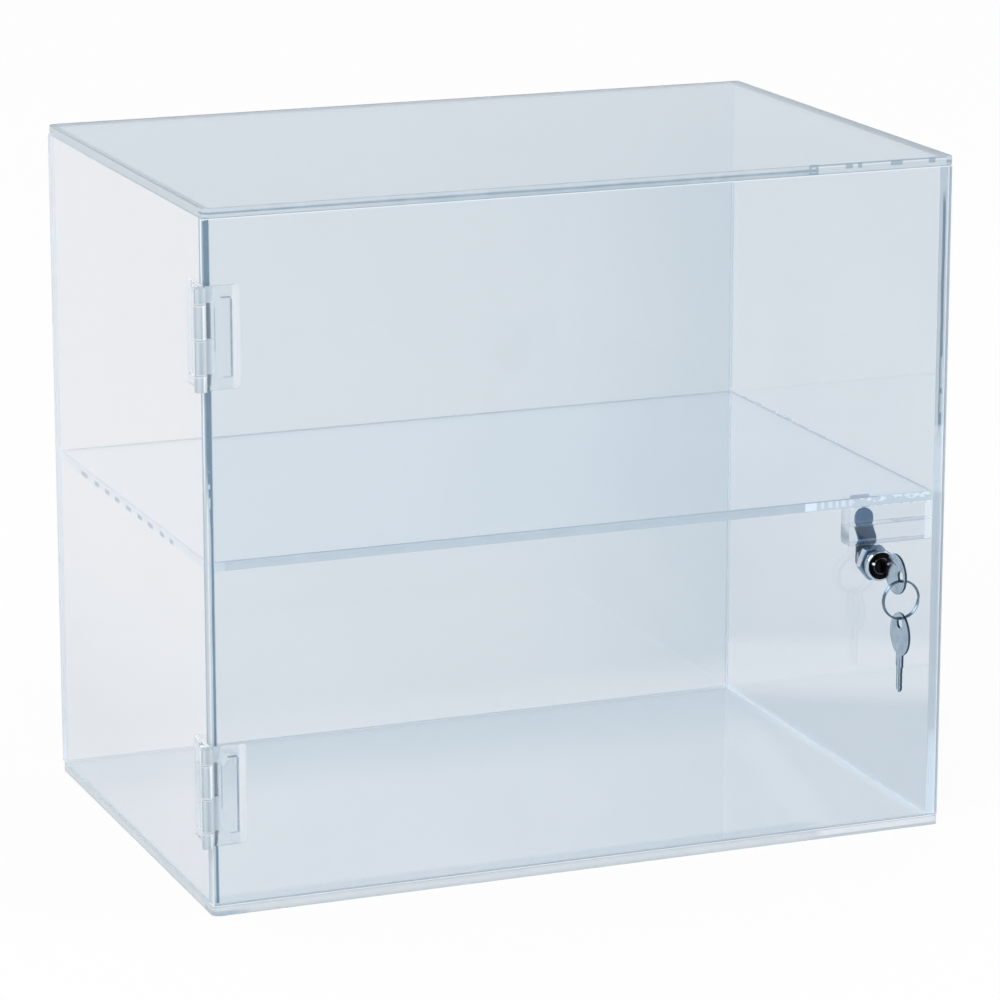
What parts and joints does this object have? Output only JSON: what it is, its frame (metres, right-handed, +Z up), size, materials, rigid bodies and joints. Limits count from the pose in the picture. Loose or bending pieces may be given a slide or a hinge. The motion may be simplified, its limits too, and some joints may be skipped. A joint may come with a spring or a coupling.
{
  "type": "locking display case",
  "caption": "Clear acrylic counter display case with a shelf, a hinged front door, a cam lock with its key turned by a bow, and a spare key on a split ring",
  "frame": {"origin": "middle of the underside of the bottom panel, which is the face the case rests on", "axes": "+X to the viewer's right facing the door, +Y from the door to the back, +Z up"},
  "size_m": [0.4061, 0.2985, 0.356],
  "materials": {
    "acrylic": "clear polished cast acrylic sheet with a faint blue cast",
    "clear_moulding": "clear moulded acrylic",
    "lock_chrome": "bright chrome on die-cast zinc",
    "lock_black": "glossy black face",
    "wafer_brass": "stamped brass",
    "spring_steel": "bright spring steel",
    "cam_steel": "zinc-plated pressed steel with a blue cast",
    "key_nickel": "nickel-plated flat key"
  },
  "bodies": {
    "case": {"bottom_panel": "acrylic", "top_panel": "acrylic", "left_panel": "acrylic", "right_panel": "acrylic", "back_panel": "acrylic", "shelf": "acrylic", "keeper_upper_bar": "acrylic", "keeper_lower_bar": "acrylic", "upper_case_leaf": "clear_moulding", "upper_hinge_pin": "clear_moulding", "lower_case_leaf": "clear_moulding", "lower_hinge_pin": "clear_moulding"},
    "door": {"door_panel": "acrylic", "upper_door_leaf": "clear_moulding", "lower_door_leaf": "clear_moulding", "lock_housing": "lock_chrome", "lock_nut": "lock_chrome"},
    "plug": {"lock_plug": "lock_black", "lock_wafers": "wafer_brass", "wafer_springs": "spring_steel", "lock_cam": "cam_steel", "cam_washer": "lock_chrome", "cam_screw": "lock_chrome"},
    "key_in_lock": {"key": "key_nickel"},
    "ring": {"key_ring": "spring_steel"},
    "spare": {"spare_key": "key_nickel"}
  },
  "joints": [
    {"name": "door_swing", "type": "hinge", "parent": "case", "child": "door", "pos_m": [-0.203, -0.134, 0.178], "axis": [0, 0, -1], "range_deg": [0, 265]},
    {"name": "lock_turn", "type": "hinge", "parent": "door", "child": "plug", "pos_m": [0.1627, -0.131, 0.1449], "axis": [0, -1, 0], "range_deg": [0, 90]},
    {"name": "key_draw", "type": "slide", "parent": "plug", "child": "key_in_lock", "axis": [0, -1, 0], "range_m": [0, 0.02]},
    {"name": "ring_swing", "type": "hinge", "parent": "key_in_lock", "child": "ring", "pos_m": [0.1627, -0.157, 0.1449], "axis": [-1, 0, 0], "range_deg": [-10, 70]},
    {"name": "spare_swing", "type": "hinge", "parent": "ring", "child": "spare", "pos_m": [0.1627, -0.157, 0.1207], "axis": [-1, 0, 0], "range_deg": [-15, 60]}
  ]
}
